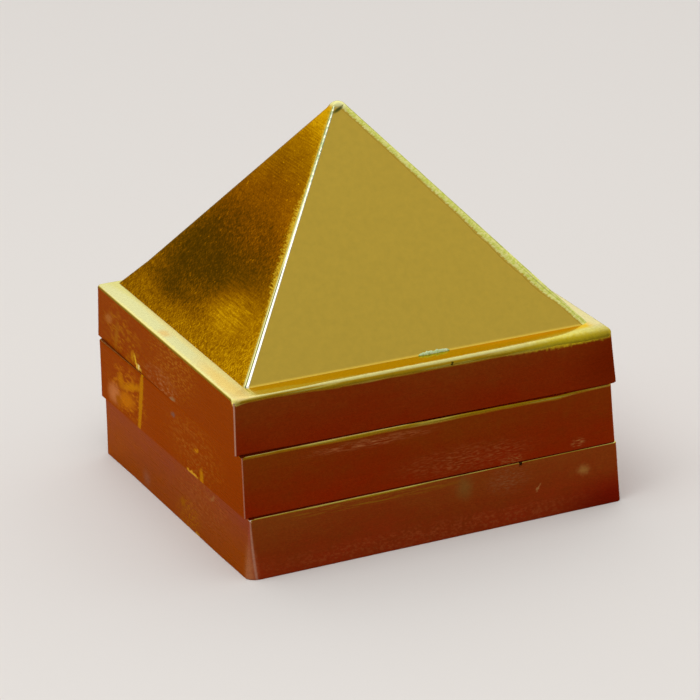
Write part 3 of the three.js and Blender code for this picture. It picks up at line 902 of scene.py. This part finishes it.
def plate_tree(material):
    """Geometry Nodes: a thin sheet with a square grid of small pyramids standing on it."""
    tree = bpy.data.node_groups.new("Pressed pyramid plate", "GeometryNodeTree")
    sockets = tree.interface
    for name, kind, value in (
        ("Count", "NodeSocketInt", 3),
        ("Pitch", "NodeSocketFloat", 13.8 * MM),
        ("Side", "NodeSocketFloat", 13.5 * MM),
        ("Rise", "NodeSocketFloat", 8 * MM),
        ("Tip", "NodeSocketFloat", 0.15 * MM),
        ("Sheet", "NodeSocketFloat", PLATE_FIELD + 2 * PLATE_MARGIN),
        ("Thickness", "NodeSocketFloat", PLATE_WALL),
    ):
        sockets.new_socket(name, in_out="INPUT", socket_type=kind).default_value = value
    sockets.new_socket("Geometry", in_out="OUTPUT", socket_type="NodeSocketGeometry")
    given = add(tree, "NodeGroupInput").outputs
    fewer = add(tree, "ShaderNodeMath", {0: given["Count"], 1: 1.0}, operation="SUBTRACT")
    span, corner, half_sheet, on_sheet = (
        add(tree, "ShaderNodeMath", {0: value, 1: factor}, operation="MULTIPLY")
        for value, factor in (
            (fewer, given["Pitch"]), (given["Side"], math.sqrt(0.5)), (given["Thickness"], 0.5),
            (given["Thickness"], 0.9)))
    grid = add(tree, "GeometryNodeMeshGrid", {
        "Size X": span, "Size Y": span, "Vertices X": given["Count"], "Vertices Y": given["Count"]})
    cone = add(tree, "GeometryNodeMeshCone", {
        "Vertices": 4, "Side Segments": 3, "Fill Segments": 1, "Radius Top": given["Tip"],
        "Radius Bottom": corner, "Depth": given["Rise"]})
    turned = add(tree, "GeometryNodeTransform", {
        "Geometry": cone, "Rotation": (0, 0, math.radians(45))})
    stood = add(tree, "GeometryNodeInstanceOnPoints", {
        "Points": grid, "Instance": turned})
    raised = add(tree, "ShaderNodeCombineXYZ", {"Z": on_sheet})
    lifted = add(tree, "GeometryNodeTransform", {"Geometry": stood, "Translation": raised})
    size = add(tree, "ShaderNodeCombineXYZ", {
        "X": given["Sheet"], "Y": given["Sheet"], "Z": given["Thickness"]})
    slab = add(tree, "GeometryNodeMeshCube", {"Size": size})
    middle = add(tree, "ShaderNodeCombineXYZ", {"Z": half_sheet})
    laid = add(tree, "GeometryNodeTransform", {"Geometry": slab, "Translation": middle})
    joined = add(tree, "GeometryNodeJoinGeometry")
    tree.links.new(lifted.outputs[0], joined.inputs[0])
    tree.links.new(laid.outputs[0], joined.inputs[0])
    real = add(tree, "GeometryNodeRealizeInstances", {"Geometry": joined})
    painted = add(tree, "GeometryNodeSetMaterial", {"Geometry": real, "Material": material})
    add(tree, "NodeGroupOutput", {"Geometry": painted})
    return tree


def plate_mesh(tree, per_side):
    """Runs the tree for one plate, rounds its creases and gives a plain mesh."""
    maker = bpy.data.objects.new("plate_maker", bpy.data.meshes.new("plate_maker"))
    bpy.context.scene.collection.objects.link(maker)
    modifier = maker.modifiers.new("Plate", "NODES")
    modifier.node_group = tree
    pitch = PLATE_FIELD / per_side
    side = pitch - VALLEY
    rise = 0.985 * side * PYRAMID_RISE / PYRAMID_FOOT  # their tips are pressed a little blunt
    values = {"Count": per_side, "Pitch": pitch, "Side": side, "Rise": rise}
    for socket in tree.interface.items_tree:
        if socket.in_out == "INPUT" and socket.name in values:
            modifier[socket.identifier] = values[socket.name]
    bevel = maker.modifiers.new("Creases", "BEVEL")
    bevel.width = min(0.12 * MM, side * 0.03)
    bevel.segments = 2
    bevel.limit_method = "ANGLE"
    depsgraph = bpy.context.evaluated_depsgraph_get()
    mesh = bpy.data.meshes.new_from_object(maker.evaluated_get(depsgraph), depsgraph=depsgraph)
    maker.modifiers.clear()
    bpy.data.objects.remove(maker)
    mesh.shade_smooth()
    mesh.set_sharp_from_angle(angle=math.radians(50))
    return mesh


class VASTU_OT_residue(bpy.types.Operator):
    """Adds the crust of flux left in the pyramid's front seam"""

    bl_idname = "vastu.build_residue"
    bl_label = "Add the flux residue"

    def execute(self, context):
        rings = []
        length, thickness, height = 4.15 * MM, 0.16 * MM, 0.36 * MM
        steps, around = 36, 10
        for step in range(steps + 1):
            share = step / steps
            swell = max(0.0, 1 - (2 * share - 1) ** 6) * (0.8 + 0.45 * wave(share * 9, 3, 1)) + 0.05
            x = (share - 0.5) * length
            angle = np.linspace(0, 2 * math.pi, around, endpoint=False)
            lumps = 1 + 0.35 * np.array([wave(share * 16, a, 5) for a in np.sin(angle) * 2])
            y = thickness * swell * lumps * np.cos(angle)
            z = height * swell * lumps * np.sin(angle)
            rings.append(np.column_stack([np.full(around, x), y, z]))
        mesh = loft("flux_residue", rings, False)
        on_seam = Vector((1.85 * MM, -PYRAMID_FOOT / 2 - 0.1 * MM, 0.07 * MM))
        turn = Matrix.Rotation(math.radians(TURNS["cap"]), 4, "Z")
        material = material_of("dried_flux", residue_surface)
        piece("flux_residue", mesh, "cap", None, material,
              TURNS["cap"], seat_of("pyramid_shell") + turn @ on_seam)
        return {"FINISHED"}


class VASTU_OT_studio(bpy.types.Operator):
    """Sets the floor, the soft lights and the camera"""

    bl_idname = "vastu.build_studio"
    bl_label = "Set the studio"

    def execute(self, context):
        settings = context.scene.vastu_studio
        around = 96
        angle = np.linspace(0, 2 * math.pi, around, endpoint=False)
        profile = [(2.1, 0.0), (2.2, 0.0), (2.5, 0.02), (2.7, 0.1), (2.8, 0.3)]  # radius and height
        points = [[radius * math.cos(a), radius * math.sin(a), z] for radius, z in profile for a in angle]
        faces = [list(range(around))]
        for band in range(0, len(points) - around, around):
            for k in range(around):
                here, after = band + k, band + (k + 1) % around
                faces.append([here, here + around, after + around, after])
        mesh = bpy.data.meshes.new("floor")
        mesh.from_pydata(points, [], faces)
        mesh.materials.append(material_of("matt_paper_floor", floor_surface, settings.floor_colour))
        mesh.shade_smooth()
        floor = bpy.data.objects.new("floor", mesh)
        context.scene.collection.objects.link(floor)

        world = bpy.data.worlds.new("soft_studio")
        context.scene.world = world
        world.use_nodes = True
        tree = world.node_tree
        tree.nodes.clear()
        direction = add(tree, "ShaderNodeTexCoord").outputs["Generated"]
        far_side = Vector((0.35, 0.9, 0.25)).normalized()
        facing = add(tree, "ShaderNodeVectorMath", {
            0: direction, 1: far_side}, operation="DOT_PRODUCT").outputs["Value"]
        far = add(tree, "ShaderNodeMapRange", {"Value": facing, "From Min": -1.0, "From Max": 1.0})
        greys = ((0.0, 0.3), (0.26, 0.25), (0.45, 0.43), (0.6, 0.55), (0.76, 0.66), (0.85, 0.78),
                 (0.93, 0.97), (1.0, 0.97))  # place from the near to the far side, and brightness
        sky = add(tree, "ShaderNodeValToRGB", {"Fac": far}, stops=[
            (place, (grey, grey, grey, 1)) for place, grey in greys])
        background = add(tree, "ShaderNodeBackground", {"Color": sky, "Strength": 1.0})
        add(tree, "ShaderNodeOutputWorld", {"Surface": background})

        # The floor's lamp leaves no reflection in the metal
        for name, towards, distance, size, power, shines in (
            ("left_softbox", (-0.47, -0.04, 0.88), 0.9, 0.5, 0.9, True),
            ("floor_softbox", (-0.2, -0.25, 1.0), 1.4, 1.2, 8.6, False),
        ):
            lamp = bpy.data.lights.new(name, "AREA")
            lamp.shape = "SQUARE"
            lamp.size = size
            lamp.energy = power
            lamp_object = bpy.data.objects.new(name, lamp)
            context.scene.collection.objects.link(lamp_object)
            lamp_object.location = Vector(towards).normalized() * distance
            lamp_object.rotation_euler = Vector(towards).to_track_quat("Z", "Y").to_euler()
            lamp_object.visible_glossy = shines

        camera = bpy.data.cameras.new("camera")
        camera.lens = settings.lens
        camera.sensor_width = 36
        camera.clip_start, camera.clip_end = 0.01, 10
        camera_object = bpy.data.objects.new("camera", camera)
        context.scene.collection.objects.link(camera_object)
        axes = Matrix(camera_axes(azimuth=-22.893, elevation=19.647, roll=-3.119)).transposed()
        spot = Vector((-183.02, -433.37, 184.69)) * MM
        camera_object.matrix_world = Matrix.Translation(spot) @ axes.to_4x4()
        context.scene.camera = camera_object
        context.scene.view_settings.view_transform = "Standard"
        return {"FINISHED"}


def camera_axes(azimuth, elevation, roll):
    """The camera's right, up and back directions. Azimuth 0 looks along +Y."""
    a, e, r = (math.radians(angle) for angle in (azimuth, elevation, roll))
    back = Vector((math.sin(a) * math.cos(e), -math.cos(a) * math.cos(e), math.sin(e)))
    right = Vector((math.cos(a), math.sin(a), 0))
    up = back.cross(right)
    return (
        math.cos(r) * right + math.sin(r) * up,
        math.cos(r) * up - math.sin(r) * right,
        back,
    )


class VASTU_PT_panel(bpy.types.Panel):
    """Lists the steps of the build"""

    bl_idname = "VASTU_PT_panel"
    bl_label = "Vastu pyramid"
    bl_space_type = "VIEW_3D"
    bl_region_type = "UI"
    bl_category = "Vastu"

    def draw(self, context):
        scene = context.scene
        for group in (scene.vastu_sizes, scene.vastu_finish, scene.vastu_studio):
            for name in group.__annotations__:
                self.layout.prop(group, name)
        for operator in OPERATORS:
            self.layout.operator(operator.bl_idname)


OPERATORS = (VASTU_OT_trays, VASTU_OT_pyramid, VASTU_OT_plates, VASTU_OT_residue, VASTU_OT_studio)
GROUPS = {"vastu_sizes": StackSizes, "vastu_finish": StackFinish, "vastu_studio": StudioSettings}


def register():
    for group in GROUPS.values():
        bpy.utils.register_class(group)
    for name, group in GROUPS.items():
        setattr(bpy.types.Scene, name, PointerProperty(type=group))
    for operator in OPERATORS:
        bpy.utils.register_class(operator)
    bpy.utils.register_class(VASTU_PT_panel)


def unregister():
    bpy.utils.unregister_class(VASTU_PT_panel)
    for operator in reversed(OPERATORS):
        bpy.utils.unregister_class(operator)
    for name in GROUPS:
        delattr(bpy.types.Scene, name)
    for group in reversed(list(GROUPS.values())):
        bpy.utils.unregister_class(group)


def main():
    register()
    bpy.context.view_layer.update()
    bpy.ops.vastu.build_trays()
    bpy.ops.vastu.build_pyramid()
    bpy.ops.vastu.build_plates()
    bpy.ops.vastu.build_residue()
    bpy.ops.vastu.build_studio()


if __name__ == "__main__":
    main()
